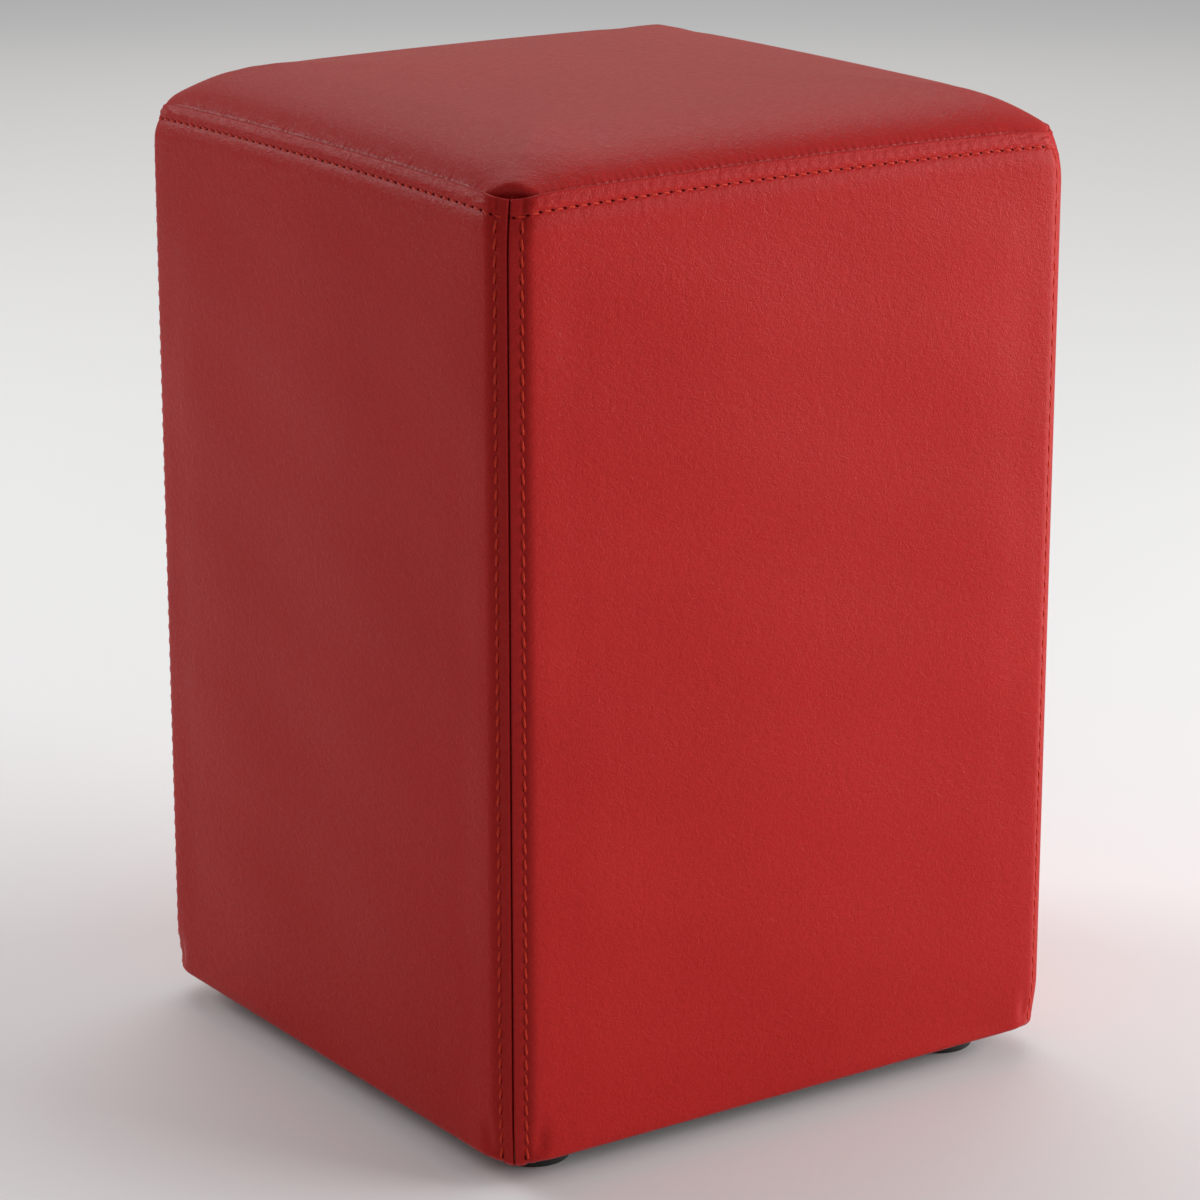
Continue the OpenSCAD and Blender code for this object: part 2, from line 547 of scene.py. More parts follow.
@dataclass(frozen=True)
class Steel(Finish):
    """Zinc-plated or galvanised steel."""

    name: str
    colour: Triple = (0.62, 0.62, 0.60)

    def wire(self, n: Nodes) -> None:
        """Wires the material.

        Args:
            n: Its nodes.
        """
        spangle = n.noise(n.place(), 700.0, 3.0)
        r, g, b = self.colour
        n.colours(spangle, [(0.3, (r * 0.8, g * 0.8, b * 0.8)), (0.7, (r, g, b))])
        n.rough(spangle, 0.28, 0.42)
        n.shader.inputs["Metallic"].default_value = 1.0
        n.relief(spangle, 0.03 * MM, 0.4)


@dataclass(frozen=True)
class BlackPlastic(Finish):
    """Black moulded plastic with a fine matt texture, scuffed at the foot."""

    name: str = "black_moulded_plastic"

    def wire(self, n: Nodes) -> None:
        """Wires the material.

        Args:
            n: Its nodes.
        """
        texture = n.noise(n.place(), 2400.0, 2.0)
        scuffs = n.noise(n.place((1.0, 0.2, 1.0)), 260.0, 3.0)
        n.colours(scuffs, [(0.35, (0.010, 0.010, 0.010)), (0.85, (0.022, 0.022, 0.022))])
        n.rough(n.sum(texture, scuffs, 0.5), 0.34, 0.60)
        n.relief(texture, 0.06 * MM, 0.5)


# ---- sizes


@dataclass(frozen=True)
class Body:
    """The padded body's driving sizes, read from the frame.

    Attributes:
        half: Half the width over the cover.
        lift: Height of the body's bottom edge.
        seam: Height of the top seam.
        crown: Height of the seat's highest point.
        board_half: Half the width over the boards.
        seat_board: Height of the seat board's upper face.
    """

    half: float
    lift: float
    seam: float
    crown: float
    board_half: float
    seat_board: float

    @classmethod
    def read(cls) -> "Body":
        """Reads the sizes from the frame's boxes."""
        low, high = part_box("front_cover_panel")
        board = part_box("seat_board")[1]
        return cls(half=-low.y, lift=low.z, seam=high.z,
                   crown=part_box("seat_cover_panel")[1].z,
                   board_half=board.x, seat_board=board.z)


@dataclass(frozen=True)
class Sewing:
    """How the cover is sewn.

    Attributes:
        corner_pitch: Stitch length beside the upright seams.
        top_pitch: Stitch length below the top seam.
        top_row: From the top seam to its topstitching.
        valley: Depth that the thread pulls the leather in.
        valley_width: Half width of that valley.
    """

    corner_pitch: float = 7.6 * MM
    top_pitch: float = 6.4 * MM
    top_row: float = 7.0 * MM
    valley: float = 0.75 * MM
    valley_width: float = 1.3 * MM


@dataclass(frozen=True)
class CornerProfile:
    """Plan of a side panel's end, from inside the upright seam to the flat of the face.

    Attributes:
        fold: Length of leather turned in at the seam.
        curl_radius: Radius of the rolled edge at the seam.
        strip_angle: Slope of the strip between seam and topstitching, in degrees.
        row: From the seam to the topstitching.
        spring_angle: Slope of the leather just past the topstitching, in degrees.
        spring_length: How fast that slope dies away.
        reach: Where the face is flat.
    """

    fold: float = 2.4 * MM
    curl_radius: float = 0.9 * MM
    strip_angle: float = 30.0
    row: float = 6.6 * MM
    spring_angle: float = 33.0
    spring_length: float = 5.5 * MM
    reach: float = 34.0 * MM

    def table(self) -> tuple[Array, Array, Array]:
        """The profile as fine tables.

        Returns:
            Length along the leather, distance along the face, and distance outwards.
        """
        step = 0.05 * MM
        w = np.arange(-self.fold, self.reach + step, step)
        inward, strip = math.radians(135.0), math.radians(self.strip_angle)
        curl = self.curl_radius * (inward - strip)
        spring = math.radians(self.spring_angle)
        past = np.maximum(w - self.row, 0.0) / self.spring_length
        heading = np.where(w < curl, inward + (strip - inward) * np.maximum(w, 0) / curl,
                           np.where(w < self.row, strip, spring * np.exp(-past ** 1.4)))
        return w, running_sum(np.cos(heading), step), running_sum(np.sin(heading), step)


@dataclass(frozen=True)
class WallProfile:
    """Upright section of a side panel, from its turned-under edge to the rolled top edge.

    Attributes:
        turn_under: Width of the leather turned under the frame.
        fold_radius: Radius of the bottom fold.
        lean_height: Height over which the leather leans in below the top seam.
        lean: How far it leans in at the seam.
        lean_power: How late the lean starts.
        roll_radius: Radius of the rolled top edge.
        tuck: Length hidden below the rolled edge.
    """

    turn_under: float = 34.0 * MM
    fold_radius: float = 3.5 * MM
    lean_height: float = 26.0 * MM
    lean: float = 3.8 * MM
    lean_power: float = 2.2
    roll_radius: float = 0.8 * MM
    tuck: float = 4.5 * MM

    def inset(self, below: Array) -> Array:
        """How far the leather stands in from the face at a distance below the seam."""
        return self.lean * np.clip(1 - below / self.lean_height, 0, 1) ** self.lean_power


@dataclass(frozen=True)
class Creases:
    """Heights of the small shapes that sewing and padding leave in a side panel.

    Attributes:
        band: The roll between the top seam and its topstitching.
        fan: The slanting creases of that roll near the corners.
        swell: The padding pushed up below the topstitching.
        shoulder: The padding pushed up beside the upright rows.
        pull: The waves below each stitch.
        wander: The unevenness of the padding.
        dimple: The hollow beside the upright rows at the bottom.
        puff: The furthest that the padding blows the face out.
    """

    band: float = 0.35 * MM
    fan: float = 0.30 * MM
    swell: float = 0.5 * MM
    shoulder: float = 0.35 * MM
    pull: float = 0.10 * MM
    wander: float = 0.35 * MM
    dimple: float = 1.5 * MM
    puff: float = 1.6 * MM


# ---- cloth


def blown(points: Array, pressure: float, cap: float) -> Array:
    """Blows a pinned sheet up with a cloth simulation.

    Args:
        points: A coarse grid of shape (rows, columns, 3), with its normals outwards.
        pressure: The air pressure under it.
        cap: The furthest that a point may move.

    Returns:
        How far each point has moved along its normal, of shape (rows, columns), eased to
        nothing at the border.
    """
    rows, columns = points.shape[:2]
    sheet = make_mesh("blown_sheet", points.reshape(-1, 3), grid_faces(rows, columns))
    pins = sheet.vertex_groups.new(name="pins")
    pins.add(border_loop(rows, columns).tolist(), 1.0, "REPLACE")
    cloth = sheet.modifiers.new("cloth", "CLOTH")
    settings = {"quality": 6, "mass": 0.4, "tension_stiffness": 60, "compression_stiffness": 60,
                "shear_stiffness": 30, "bending_stiffness": 6, "vertex_group_mass": "pins",
                "use_pressure": True, "uniform_pressure_force": pressure}
    for key, value in settings.items():
        setattr(cloth.settings, key, value)
    cloth.settings.effector_weights.gravity = 0
    last = 20
    cloth.point_cache.frame_start, cloth.point_cache.frame_end = 1, last
    scene = bpy.context.scene
    for number in range(1, last + 1):
        scene.frame_set(number)
    shown = sheet.evaluated_get(bpy.context.evaluated_depsgraph_get()).to_mesh()
    moved = np.zeros(rows * columns * 3, np.float32)
    shown.vertices.foreach_get("co", moved)
    scene.frame_set(1)
    bpy.data.objects.remove(sheet)
    shift = ((moved.reshape(points.shape) - points) * grid_normals(points)).sum(axis=-1)
    shift *= min(1.0, cap / max(np.abs(shift).max(), 1e-9))
    log.info("cloth simulation: %.2f mm of puff", np.abs(shift).max() / MM)

    def faded(count: int) -> Array:
        """Eases in from both ends over four places."""
        k = np.arange(count)
        return smooth(np.minimum(k, k[::-1]) / 4)

    return shift * faded(rows)[:, None] * faded(columns)[None, :]


def resampled(field_: Array, rows: Array, columns: Array) -> Array:
    """Reads a coarse grid of values at fine places, smoothly.

    Args:
        field_: Values of shape (coarse rows, coarse columns).
        rows: Row positions, in coarse steps.
        columns: Column positions, in coarse steps.

    Returns:
        Values of shape (rows, columns).
    """

    def along(values: Array, at: Array) -> Array:
        """Reads the values' rows at places between them."""
        k = np.clip(np.floor(at).astype(int), 0, len(values) - 2)
        f = np.clip(at - k, 0, 1)[:, None]
        before = values[np.maximum(k - 1, 0)]
        after = values[np.minimum(k + 2, len(values) - 1)]
        a, b = values[k], values[k + 1]
        slope_a, slope_b = (b - before) / 2, (after - a) / 2
        return ((2 * f ** 3 - 3 * f ** 2 + 1) * a + (f ** 3 - 2 * f ** 2 + f) * slope_a
                + (3 * f ** 2 - 2 * f ** 3) * b + (f ** 3 - f ** 2) * slope_b)

    return along(along(field_, rows).T, columns).T


def stitch_strength(where: Array, pitch: float, seed: int) -> Array:
    """How hard each stitch of a seam pulls: from about 0.6 to 1.4."""
    return 1.0 + 0.4 * np.sin(where / pitch * 1.7 + seed) * np.sin(where / pitch * 0.73 + 2 * seed)


# ---- side panels


@dataclass
class SidePanel:
    """One side of the cover with its seam edges and the edge turned under the frame.

    Attributes:
        body: The stool's sizes.
        sewing: How the cover is sewn.
        side: Which side it is.
        corner: The plan of its ends.
        wall: Its upright section.
        creases: Its small shapes.
        seam_gap: Half the gap between two panels at an upright seam.
        lobe: How far the doubled corner strip hangs below the bottom edge.
        lobe_reach: How wide that strip hangs.
        bow: How far the top seam's ends hang below its middle.
        corner_dip: How much further they dip right at the corner.
        pull_in: How far the bottom corners are gathered in.
        seam_reach: How far down the bow of the top seam is felt.
        edge_reach: How far up the shape of the bottom edge is felt.
        pull_reach: How far up the bottom corners are gathered.
    """

    body: Body
    sewing: Sewing
    side: Side
    corner: CornerProfile = field(default_factory=CornerProfile)
    wall: WallProfile = field(default_factory=WallProfile)
    creases: Creases = field(default_factory=Creases)
    seam_gap: float = 0.42 * MM
    lobe: float = 2.4 * MM
    lobe_reach: float = 14.0 * MM
    bow: float = 2.0 * MM
    corner_dip: float = 2.0 * MM
    pull_in: float = 1.6 * MM
    seam_reach: float = 150.0 * MM
    edge_reach: float = 26.0 * MM
    pull_reach: float = 24.0 * MM

    def __post_init__(self) -> None:
        """Lays out the grid's lines and builds its points and normals."""
        self._lay_out_columns()
        self._lay_out_rows()
        self.points, self.normals = self._surface()

    def _lay_out_columns(self) -> None:
        """Sets the columns: fine at the ends, a sixth of a stitch apart in the middle."""
        w, along, out = self.corner.table()
        seam = out[-1]
        deep = self.body.half - seam - self.seam_gap
        start = deep - np.interp(0.0, w, along)
        step = self.sewing.top_pitch / 6
        row = self.corner.row
        ends = np.concatenate([np.linspace(-self.corner.fold, 0, 4)[:-1],
                               np.linspace(0, 1.65 * MM, 8),
                               np.linspace(2.3 * MM, row - 1.4 * MM, 4),
                               row + np.linspace(-1.0, 1.0, 7) * MM,
                               np.linspace(row + 1.5 * MM, row + 7.0 * MM, 8)])
        end_t = deep - np.interp(ends, w, along)
        inner = math.floor((end_t[-1] - 0.4 * step) / step)
        middle = np.arange(-inner, inner + 1) * step
        rising = w > 2 * MM
        middle_w = np.interp(deep - np.abs(middle), along[rising], w[rising], right=np.nan)
        flat = np.isnan(middle_w)
        middle_w[flat] = w[-1] + (deep - np.abs(middle[flat])) - along[-1]
        self.start = start
        self.w = np.concatenate([ends, middle_w, ends[::-1]])
        self.t = np.concatenate([-end_t, middle, end_t[::-1]])
        self.inset = seam - np.interp(self.w, w, out)
        self.row_columns = (int(np.argmin(np.abs(ends - row))),
                            len(self.w) - 1 - int(np.argmin(np.abs(ends - row))))

    def _lay_out_rows(self) -> None:
        """Sets the rows: turned-under edge, fold, wall, leaning top and rolled edge."""
        b, p = self.body, self.wall
        under_q = np.linspace(p.turn_under, p.fold_radius, 9)[:-1]
        angle = np.linspace(0, math.pi / 2, 8)
        fold_q = p.fold_radius * (1 - np.sin(angle))
        fold_z = b.lift + p.fold_radius * (1 - np.cos(angle))
        step = self.sewing.corner_pitch / 3
        first = b.lift + p.fold_radius + step
        top = b.seam - p.lean_height
        wall_z = np.arange(first, top, step)
        row = self.sewing.top_row
        below = np.concatenate([np.arange(p.lean_height, row + 2 * MM, -1.5 * MM),
                                row + np.linspace(1.5, -1.5, 9) * MM,
                                np.linspace(row - 2.2 * MM, 0, 7)])
        lean_q = p.inset(below)
        slope = math.atan(p.lean * p.lean_power / p.lean_height)
        roll = np.linspace(slope, math.pi, 8)[1:]
        r = p.roll_radius
        roll_q = lean_q[-1] + r * (math.cos(slope) - np.cos(roll))
        roll_z = b.seam + r * (np.sin(roll) - math.sin(slope))
        tuck = np.linspace(0, p.tuck, 4)[1:]
        self.q = np.concatenate([under_q, fold_q, np.zeros_like(wall_z), lean_q, roll_q,
                                 np.full(len(tuck), roll_q[-1])])
        self.z = np.concatenate([np.full(len(under_q), b.lift), fold_z, wall_z,
                                 b.seam - below, roll_z, roll_z[-1] - tuck])
        self.below = b.seam - self.z
        self.first_wall_row = len(under_q) + len(fold_q)
        self.last_wall_row = self.first_wall_row + len(wall_z) + len(below) - 1
        self.top_row_index = self.first_wall_row + len(wall_z) + int(
            np.argmin(np.abs(below - row)))
        self.under_rows = len(under_q)

    def seam_drop(self, t: Array) -> Array:
        """How far the top seam hangs below its middle, at distances from the middle."""
        s = np.abs(t) / self.start
        return self.seam_bow(t) + self.corner_dip * bump_at(s, 1.0, 0.055)

    def seam_bow(self, t: Array) -> Array:
        """The even part of the top seam's drop."""
        return self.bow * np.minimum(np.abs(t) / self.start, 1.0) ** 2

    def _bottom_drop(self) -> Array:
        """How far each column's bottom edge hangs: the doubled corner strip makes a lobe."""
        w = self.w
        drop = self.lobe * (1 - smooth((w - 2 * MM) / (self.lobe_reach - 2 * MM)))
        return drop - 0.8 * MM * bump_at(w, self.corner.row, 1.2 * MM)

    def _surface(self) -> tuple[Array, Array]:
        """Builds the panel's points and normals, in place on its side."""
        b = self.body
        q, z = self.q[:, None], self.z[:, None]
        t, inset = self.t[None, :], self.inset[None, :]
        near_top = smooth((z - (b.seam - self.seam_reach)) / self.seam_reach)
        outer = 1 - smooth((q - 5 * MM) / (14 * MM))
        edge = (1 - smooth((z - b.lift) / self.edge_reach)) * outer
        gathered = self.pull_in * (1 - smooth((z - b.lift) / self.pull_reach)) * outer * (
            1 - smooth((self.w[None, :] - 4 * MM) / (16 * MM)))
        x = t - np.sign(t) * (q * np.minimum(np.abs(t) / self.start, 1.0) + gathered)
        y = -(b.half - inset - q) + gathered
        height = z - near_top * self.seam_drop(t) - edge * self._bottom_drop()[None, :]
        base = np.stack([x, y, height + 0 * x], axis=-1)
        normals = grid_normals(base)
        lifted = base + normals * self._relief()[..., None]
        return turned(lifted, self.side), turned(grid_normals(lifted), self.side)

    def _relief(self) -> Array:
        """Heights over the plain surface: seams, hollows, sags and the padding's puff."""
        row = np.arange(len(self.z))
        on_wall = ((row >= self.first_wall_row) & (row <= self.last_wall_row))[:, None]
        return on_wall * (self._seams() + self._hollow() + self._wander() + self._puff())

    def _seams(self) -> Array:
        """The valleys under the thread, and the rolls and puckers beside them."""
        s, c = self.sewing, self.creases
        z, t, w = self.z[:, None], self.t[None, :], self.w[None, :]
        below = self.below[:, None]
        holes = 0.75 + 0.25 * np.cos(TAU * z / s.corner_pitch)
        valley = -s.valley * bump_at(w, self.corner.row, s.valley_width) * holes
        hole_t = 0.7 + 0.3 * np.cos(TAU * t / s.top_pitch)
        clear = smooth((w - 2 * MM) / (8 * MM))
        valley = valley - s.valley * bump_at(below, s.top_row, s.valley_width) * hole_t * (
            0.4 + 0.6 * clear)
        band = c.band * bump_at(below, s.top_row / 2, 2.4 * MM) * (
            1 + 0.25 * np.cos(TAU * t / s.top_pitch + 0.6)) * clear
        fan = c.fan * np.sin(TAU * (below / (3.4 * MM) - w / (15 * MM))) * np.exp(
            -np.maximum(w - 9 * MM, 0) / (16 * MM)) * bump_at(
            below, s.top_row * 0.55, 2.6 * MM) * clear
        swell = c.swell * bump_at(below, s.top_row + 7 * MM, 5 * MM) * clear
        shoulder = c.shoulder * bump_at(w, self.corner.row + 4 * MM, 3 * MM)
        pull = c.pull * np.cos(TAU * t / s.top_pitch) * stitch_strength(
            t, s.top_pitch, self.side.value) * np.exp(
            -np.maximum(below - s.top_row, 0) / (3.5 * MM)) * (below > s.top_row) * clear
        return valley + band + fan + swell + shoulder + pull

    def _hollow(self) -> Array:
        """The hollows beside the upright rows, just over the bottom edge."""
        return -self.creases.dimple * bump_at(
            self.w[None, :], self.corner.row + 6.5 * MM, 4.5 * MM) * bump_at(
            self.z[:, None], self.body.lift + 10 * MM, 9 * MM)

    def _wander(self) -> Array:
        """The slow unevenness of the padding, which differs from side to side."""
        z, t, seed = self.z[:, None], self.t[None, :], self.side.value
        calm = smooth((self.w[None, :] - 10 * MM) / (30 * MM)) * smooth(
            (self.below[:, None] - 16 * MM) / (40 * MM))
        return self.creases.wander * calm * (
            np.sin(t * 41 + 1.3 * seed + 9 * z) + np.sin(z * 37 - 11 * t + 2.1 * seed)
            + 0.6 * np.sin(z * 83 + t * 29 + seed))

    def _puff(self) -> Array:
        """The puff of the padding, from a cloth simulation on a coarse copy of the face."""
        b = self.body
        across, up = 41, 57
        t = np.linspace(-(self.start - 14 * MM), self.start - 14 * MM, across)
        z = np.linspace(b.lift + 6 * MM, b.seam - 16 * MM, up)
        x, height = np.meshgrid(t, z)
        face = np.stack([x, np.full_like(x, -b.half), height], axis=-1)
        puff = blown(face, pressure=5.0, cap=self.creases.puff)
        columns = np.clip((self.t - t[0]) / (t[1] - t[0]), 0, across - 1)
        rows = np.clip((self.z - z[0]) / (z[1] - z[0]), 0, up - 1)
        inside = ((np.abs(self.t) <= t[-1])[None, :] & ((self.z >= z[0])
                  & (self.z <= z[-1]))[:, None])
        return resampled(puff, rows, columns) * inside

    def ridge(self) -> tuple[Array, Array]:
        """The plan of the rolled top edge.

        Returns:
            Distance from the side's middle, and distance from the stool's middle, for each
            column.
        """
        k = self.last_wall_row
        q = self.q[k]
        t = self.t - np.sign(self.t) * q * np.minimum(np.abs(self.t) / self.start, 1.0)
        return t, self.body.half - self.inset - q

    def build(self, material: Material) -> bpy.types.Object:
        """Makes the panel.

        Args:
            material: The leather.

        Returns:
            The panel, riding on the frame.
        """
        rows, columns = self.points.shape[:2]
        piece = make_mesh(f"{self.side.label}_cover", self.points.reshape(-1, 3),
                          grid_faces(rows, columns))
        dress(piece, material, f"{self.side.label}_cover_panel")
        return piece


# ---- seat panel


@dataclass
class Spots:
    """Places on the seat.

    Attributes:
        x: Place across.
        y: Place in depth.
        away_x: Distance in from the left or right edge.
        away_y: Distance in from the front or back edge.
    """

    x: Array
    y: Array
    away_x: Array
    away_y: Array


@dataclass
class SeatPanel:
    """The seat's leather: a crown sewn down into the rolled edges of the four sides.

    Attributes:
        body: The stool's sizes.
        sewing: How the cover is sewn.
        side: The front side, for the line of the top seam.
        clearance: The gap to the sides' rolled edges.
        groove: How far the seam pulls the leather in.
        groove_reach: The width of that groove.
        groove_drop: Its depth.
        gather: How far the gathers bulge over the seam.
        mouth: How much of the near corner's tip is rolled under.
        mouth_roll: The roll's radius.
        mouth_rounding: The near corner's radius in plan.
        brow: How far the leather rises at the mouth.
        brow_width: How wide that rise is.
        rounding: The other corners' radius in plan.
        sink: How far the seam lies below the sides' edges.
        shoulder: The rise of the rounded edge.
        shoulder_width: Its width.
        skirt: The hidden leather below the seam.
        puff: The furthest that the padding blows the seat out.
    """

    body: Body
    sewing: Sewing
    side: SidePanel
    clearance: float = 0.5 * MM
    groove: float = 0.5 * MM
    groove_reach: float = 1.8 * MM
    groove_drop: float = 0.5 * MM
    gather: float = 0.65 * MM
    mouth: float = 3.4 * MM
    mouth_roll: float = 1.3 * MM
    mouth_rounding: float = 2.0 * MM
    brow: float = 1.2 * MM
    brow_width: float = 11.0 * MM
    rounding: float = 12.0 * MM
    sink: float = 4.0 * MM
    shoulder: float = 17.3 * MM
    shoulder_width: float = 46.0 * MM
    skirt: float = 3.0 * MM
    puff: float = 2.0 * MM

    def __post_init__(self) -> None:
        """Lays out the grid and builds its points."""
        ridge_t, ridge_n = self.side.ridge()
        order = np.argsort(ridge_t)
        self._ridge_t, self._ridge_n = ridge_t[order], ridge_n[order]
        corner = float(self._ridge_n.min())
        self.base = corner - self.clearance
        step = self.sewing.top_pitch / 5
        near = np.array([0, 0.3, 0.7, 1.0, 1.3, 1.6, 1.9, 2.3, 2.8, 3.6, 4.6, 5.8]) * MM
        inner = math.floor((self.base - near[-1] - 0.5 * step) / step)
        self.lines = np.concatenate([-(self.base - near), np.arange(-inner, inner + 1) * step,
                                     (self.base - near)[::-1]])
        self.points = self._surface()

    def edge(self, t: Array) -> Array:
        """The seat's edge in plan, as distance from the stool's middle."""
        return np.interp(np.abs(t), self._ridge_t, self._ridge_n) - self.clearance

    def crown(self, at: Spots) -> Array:
        """The crown's height over the edge.

        Args:
            at: Places on the seat.

        Returns:
            The height.
        """

        def rounded(away: Array) -> Array:
            """A quarter round over the shoulder's width."""
            k = np.clip(away / self.shoulder_width, 0, 1)
            return np.sqrt(1 - (1 - k) ** 2)

        broad = self.body.crown - self.body.seam - self.shoulder + self.sink
        dome = (1 - (at.x / self.body.half) ** 2) * (1 - (at.y / self.body.half) ** 2)
        return self.shoulder * rounded(at.away_x) * rounded(at.away_y) + broad * dome

    def _surface(self) -> Array:
        """Builds the seat's points."""
        x0, y0 = np.meshgrid(self.lines, self.lines)
        reach = 42 * MM
        keep_x = 1 - smooth((self.base - np.abs(x0)) / reach)
        keep_y = 1 - smooth((self.base - np.abs(y0)) / reach)
        edge_x, edge_y = self.edge(y0), self.edge(x0)
        x = x0 + np.sign(x0) * keep_x * (edge_x - self.base)
        y = y0 + np.sign(y0) * keep_y * (edge_y - self.base)
        at = Spots(x, y, np.maximum(edge_x - np.abs(x), 0), np.maximum(edge_y - np.abs(y), 0))
        bow = np.maximum(keep_x * self.side.seam_bow(y0), keep_y * self.side.seam_bow(x0))
        z = self.body.seam - bow - self.sink * np.maximum(keep_x, keep_y)
        z = z + self.brow * bump_at(np.hypot(x + self.base, y + self.base), 0.0, self.brow_width)
        z = z + self.crown(at) + self._puckers(at)
        x, y, z = self._rolled(*self._tucked(at, z))
        base = np.stack([x, y, z], axis=-1)
        return base + grid_normals(base) * self._puff(z)[..., None]

    def _tucked(self, at: Spots, z: Array) -> tuple[Array, Array, Array]:
        """Rounds the corners in plan and tucks the edges in behind the sides' lips.

        Args:
            at: Places on the seat.
            z: Heights.

        Returns:
            The new places and heights.
        """
        x, y = at.x, at.y
        r = np.where((x < 0) & (y < 0), self.mouth_rounding, self.rounding)
        a, b = np.maximum(r - at.away_x, 0) / r, np.maximum(r - at.away_y, 0) / r
        groove_x = 1 - smooth(at.away_x / self.groove_reach)
        groove_y = 1 - smooth(at.away_y / self.groove_reach)
        inward_x = r * a * (1 - np.sqrt(1 - b ** 2 / 2)) + self.groove * groove_x
        inward_y = r * b * (1 - np.sqrt(1 - a ** 2 / 2)) + self.groove * groove_y
        inward_x = inward_x - self._gathers(y, at.away_x)
        inward_y = inward_y - self._gathers(x, at.away_y)
        drop = self.groove_drop * np.maximum(groove_x, groove_y)
        return x - np.sign(x) * inward_x, y - np.sign(y) * inward_y, z - drop

    def _rolled(self, x: Array, y: Array, z: Array) -> tuple[Array, Array, Array]:
        """Rolls the front left tip under, which leaves a dark mouth behind the sides' lips.

        Args:
            x: Places across.
            y: Places in depth.
            z: Heights.

        Returns:
            The new places and heights.
        """
        past = np.maximum(-x - y - (2 * self.base - self.mouth), 0) / math.sqrt(2)
        angle = np.minimum(past / self.mouth_roll, 0.95 * math.pi)
        inward = (past - self.mouth_roll * np.sin(angle)) / math.sqrt(2)
        return x + inward, y + inward, z - self.mouth_roll * (1 - np.cos(angle))

    def _gathers(self, along: Array, away: Array) -> Array:
        """How far the little gathers bulge out over the seam.

        Args:
            along: Distance along the seam.
            away: Distance in from the seam.

        Returns:
            Distance outwards.
        """
        pitch = self.sewing.top_pitch * 2 / 3
        pull = stitch_strength(along, pitch, 1)
        return self.gather * pull * bump_at(away, 1.7 * MM, 0.9 * MM) * (
            0.5 + 0.5 * np.cos(TAU * along / pitch + 1.1))

    def _puckers(self, at: Spots) -> Array:
        """Shallow waves that the gathers send up into the seat.

        Args:
            at: Places on the seat.

        Returns:
            Heights of the waves.
        """
        pitch = self.sewing.top_pitch * 2 / 3
        total = np.zeros_like(at.x)
        for along, away, place in ((at.x, at.away_y, at.y), (at.y, at.away_x, at.x)):
            seed = 1.0 + (place > 0)
            total += 0.12 * MM * stitch_strength(along, pitch, 1) * bump_at(
                away, 2.4 * MM, 1.8 * MM) * np.cos(TAU * along / pitch + 1.1)
            total += 0.09 * MM * np.exp(-away / (11 * MM)) * smooth(away / (2 * MM)) * np.sin(
                TAU * along / (4.1 * pitch) + 3 * seed)
        return total

    def _puff(self, z: Array) -> Array:
        """The puff of the padding, from a cloth simulation on a coarse copy of the crown.

        Args:
            z: Fine heights.

        Returns:
            Movement along the normal at each fine place.
        """
        count = 45
        reach = self.base - 3 * MM
        coarse = np.linspace(-reach, reach, count)
        cx, cy = np.meshgrid(coarse, coarse)
        rows = np.interp(coarse, self.lines, np.arange(len(self.lines)))
        heights = resampled(z, rows, rows)
        puff = blown(np.stack([cx, cy, heights], axis=-1), pressure=6.0, cap=self.puff)
        at = np.clip((self.lines + reach) / (2 * reach) * (count - 1), 0, count - 1)
        inside = np.abs(self.lines) <= reach
        return resampled(puff, at, at) * (inside[:, None] & inside[None, :])

    def closed_under(self, top_gap: float, bottom: float, step: int) -> tuple[Array, Array]:
        """A closed block under the seat's skin, for the padding.

        Args:
            top_gap: Distance from the skin down to the block's top.
            bottom: Height of the block's bottom, or distance under its top if negative.
            step: How many of the seat's lines to skip.

        Returns:
            Vertices and quads.
        """
        keep = np.arange(0, len(self.lines), step)
        if keep[-1] != len(self.lines) - 1:
            keep = np.append(keep, len(self.lines) - 1)
        top = self.points[np.ix_(keep, keep)].copy()
        shrink = 1 - (top_gap + 0.6 * MM) / self.base
        top[..., :2] *= shrink
        top[..., 2] -= top_gap
        low = top.copy()
        low[..., 2] = bottom if bottom > 0 else top[..., 2] + bottom
        return closed_block(top, low)

    def build(self, material: Material) -> bpy.types.Object:
        """Makes the seat's leather.

        Args:
            material: The leather.

        Returns:
            The panel, riding on the frame.
        """
        count = len(self.lines)
        loop = border_loop(count, count)
        points = self.points.reshape(-1, 3)
        low = points[loop] - np.array([0, 0, self.skirt])
        under = np.arange(len(loop)) + len(points)
        sides = np.stack([under, np.roll(under, -1), np.roll(loop, -1), loop], axis=1)
        faces = np.concatenate([grid_faces(count, count), sides])
        piece = make_mesh("seat_cover", np.concatenate([points, low]), faces)
        dress(piece, material, "seat_cover_panel")
        return piece


# ---- stitching


